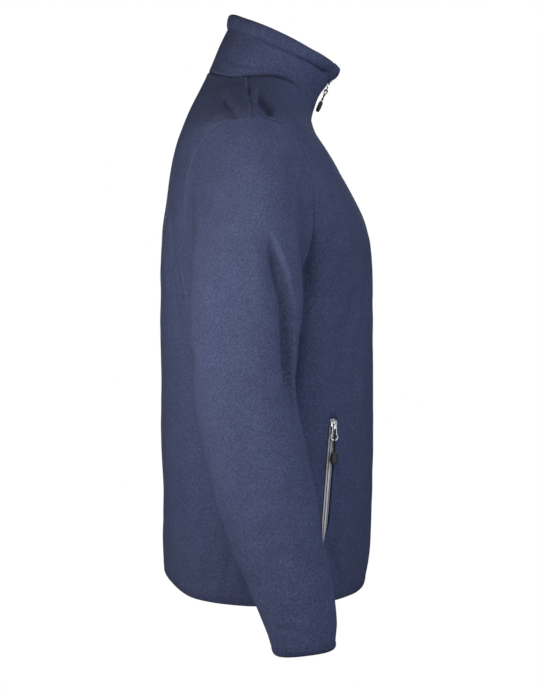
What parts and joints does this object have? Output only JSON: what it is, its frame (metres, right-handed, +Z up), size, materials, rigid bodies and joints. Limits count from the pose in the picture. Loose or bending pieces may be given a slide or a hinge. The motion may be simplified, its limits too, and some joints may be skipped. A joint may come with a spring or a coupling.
{
  "type": "fleece zip jacket",
  "caption": "Hollow worn-shape fleece jacket with a stand collar, full front zip, set-in sleeves, bound hem and cuffs, and zipped side pockets.",
  "frame": {"origin": "midway between the two side-neck points, where the wearer's shoulders carry the jacket", "axes": "+Z up, the wearer faces -Y, the wearer's left is +X"},
  "size_m": [0.6884, 0.2884, 0.798],
  "materials": {
    "fleece": "brushed microfleece, navy melange, matt with a soft nap",
    "binding": "stretch binding, dark navy",
    "zip_tape": "woven zip tape, dark navy",
    "zip_coil": "nylon coil, dark navy",
    "pocket_coil": "silver-grey coated coil zip",
    "zip_metal": "satin nickel plate",
    "cord": "black braided cord",
    "grip": "matt black rubber"
  },
  "bodies": {
    "jacket": {"front_left": "fleece", "front_right": "fleece", "back": "fleece", "sleeve_left": "fleece", "sleeve_right": "fleece", "collar": "fleece", "collar_roll": "fleece", "hem_binding": "binding", "cuff_binding_left": "binding", "cuff_binding_right": "binding", "zip_tape_left": "zip_tape", "zip_tape_right": "zip_tape", "zip_chain": "zip_coil", "zip_slider": "zip_metal", "pocket_zip_left": "pocket_coil", "pocket_slider_left": "zip_metal", "pocket_zip_right": "pocket_coil", "pocket_slider_right": "zip_metal"},
    "zip_pull": {"zip_pull_loop": "zip_metal", "zip_pull_cord": "cord", "zip_pull_knob": "grip"},
    "pocket_pull_left": {"pocket_pull_left_loop": "zip_metal", "pocket_pull_left_cord": "cord", "pocket_pull_left_knob": "grip"},
    "pocket_pull_right": {"pocket_pull_right_loop": "zip_metal", "pocket_pull_right_cord": "cord", "pocket_pull_right_knob": "grip"}
  },
  "joints": [
    {"name": "zip_pull_swing", "type": "hinge", "parent": "jacket", "child": "zip_pull", "pos_m": [0, -0.10762, 0.00715], "axis": [-1, 0, 0], "range_deg": [0, 150]},
    {"name": "pocket_pull_left_swing", "type": "hinge", "parent": "jacket", "child": "pocket_pull_left", "pos_m": [0.17011, -0.10637, -0.45015], "axis": [-0.2888, -0.9563, -0.0458], "range_deg": [0, 150]},
    {"name": "pocket_pull_right_swing", "type": "hinge", "parent": "jacket", "child": "pocket_pull_right", "pos_m": [-0.17011, -0.10637, -0.45015], "axis": [-0.2888, 0.9563, 0.0458], "range_deg": [0, 150]}
  ]
}
